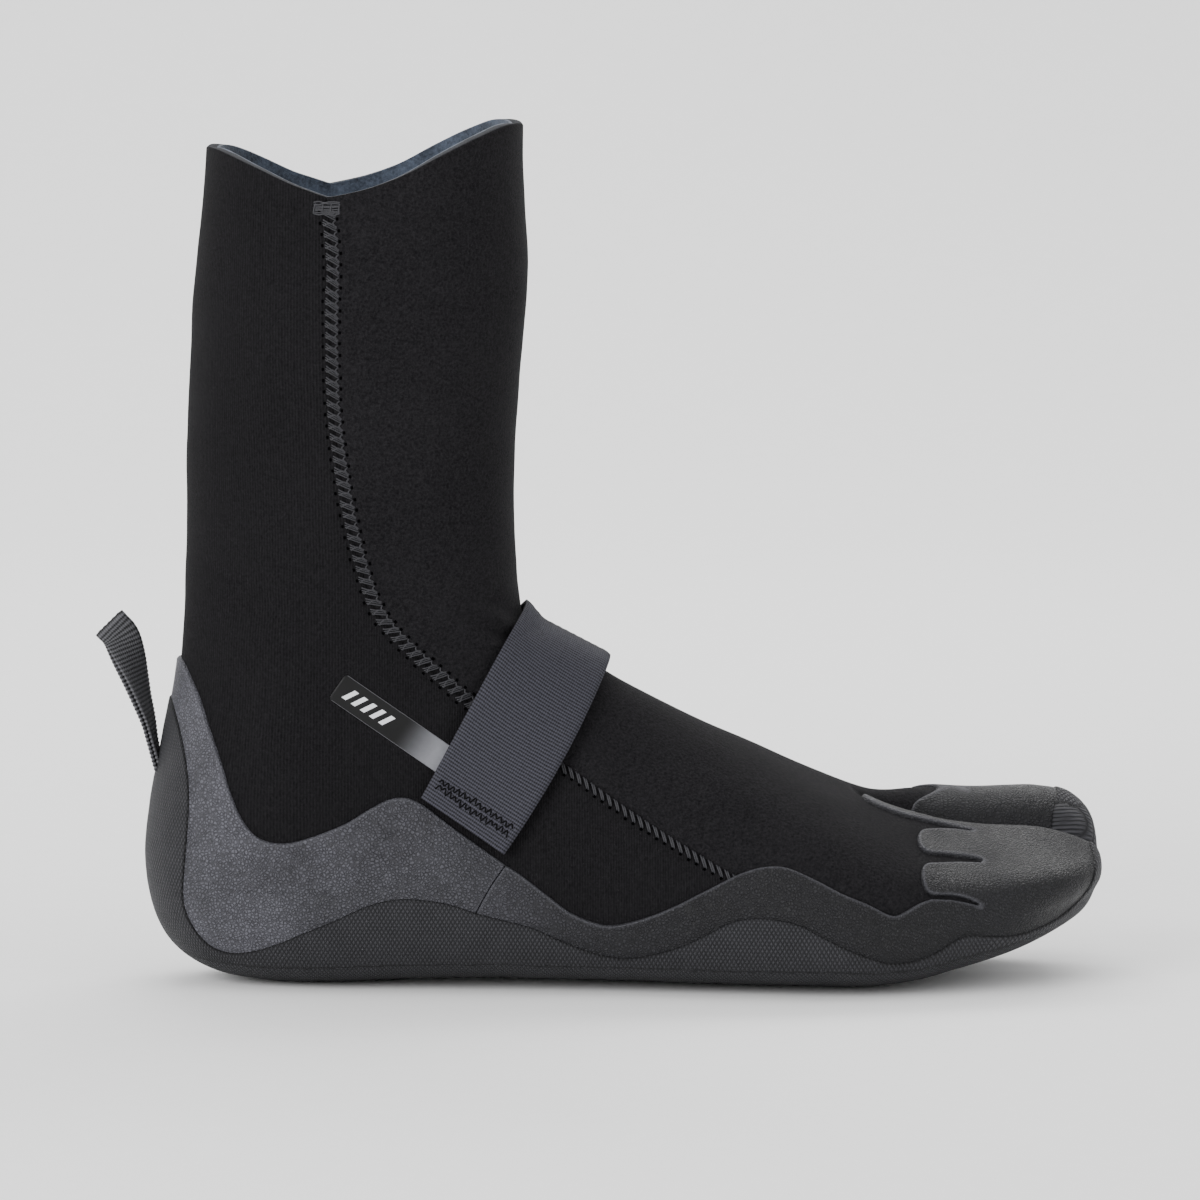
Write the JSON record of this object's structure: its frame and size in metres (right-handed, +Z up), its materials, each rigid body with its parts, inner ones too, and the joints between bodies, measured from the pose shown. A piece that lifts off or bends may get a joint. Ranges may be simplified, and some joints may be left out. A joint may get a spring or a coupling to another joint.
{
  "type": "neoprene boot",
  "caption": "Split-toe neoprene surf boot for the right foot: high V-cut sock of two panels, moulded rubber overlays and sole, peel-off instep strap and heel pull loop.",
  "frame": {"origin": "on the floor, under the middle of the boot's bounding box", "axes": "+X from heel to toe, +Y towards the inner (medial) side of the foot, +Z up the leg"},
  "size_m": [0.2928, 0.1, 0.2509],
  "materials": {
    "front_jersey": "plain knitted jersey over foam",
    "rear_jersey": "fine vertical rib knit over foam",
    "fleece_lining": "brushed blue-grey fleece",
    "grained_rubber": "moulded fine leather grain, satin",
    "tread_rubber": "moulded small diamond texture, matt",
    "stitch_thread": "bonded thread, slightly shiny",
    "label_film": "glossy transfer film",
    "loop_tape": "brushed loop tape",
    "strap_webbing": "fine cross-ribbed webbing",
    "hook_tape": "moulded hook tape",
    "pull_webbing": "coarse woven webbing"
  },
  "bodies": {
    "boot": {"front_panel": "front_jersey", "rear_panel": "rear_jersey", "sock_sole": "rear_jersey", "toe_gusset": "front_jersey", "front_lining": "fleece_lining", "rear_lining": "fleece_lining", "sole_lining": "fleece_lining", "heel_overlay": "grained_rubber", "forefoot_overlay": "grained_rubber", "outsole_heel": "tread_rubber", "outsole_forefoot": "tread_rubber", "lateral_seam_thread": "stitch_thread", "medial_seam_thread": "stitch_thread", "lateral_bar_tack": "stitch_thread", "medial_bar_tack": "stitch_thread", "film_label": "label_film", "loop_patch": "loop_tape", "strap_root": "strap_webbing", "pull_loop_base": "pull_webbing"},
    "strap_span": {"strap_span": "strap_webbing"},
    "strap_tab": {"strap_tab": "strap_webbing", "hook_patch": "hook_tape", "strap_end_stitching": "stitch_thread"},
    "pull_loop": {"pull_loop": "pull_webbing"}
  },
  "joints": [
    {"name": "strap_swing", "type": "hinge", "parent": "boot", "child": "strap_span", "pos_m": [-0.02417, 0.03241, 0.07651], "axis": [-0.8859, 0.0252, 0.4632], "range_deg": [0, 100]},
    {"name": "strap_peel", "type": "hinge", "parent": "strap_span", "child": "strap_tab", "pos_m": [-0.01908, -0.02807, 0.08625], "axis": [-0.8798, -0.12, 0.4599], "range_deg": [0, 110]},
    {"name": "pull_loop_swing", "type": "hinge", "parent": "boot", "child": "pull_loop", "pos_m": [-0.13096, 0, 0.066], "axis": [0, -1, 0], "range_deg": [-12, 100], "stiffness_Nm_per_rad": 0.004}
  ]
}
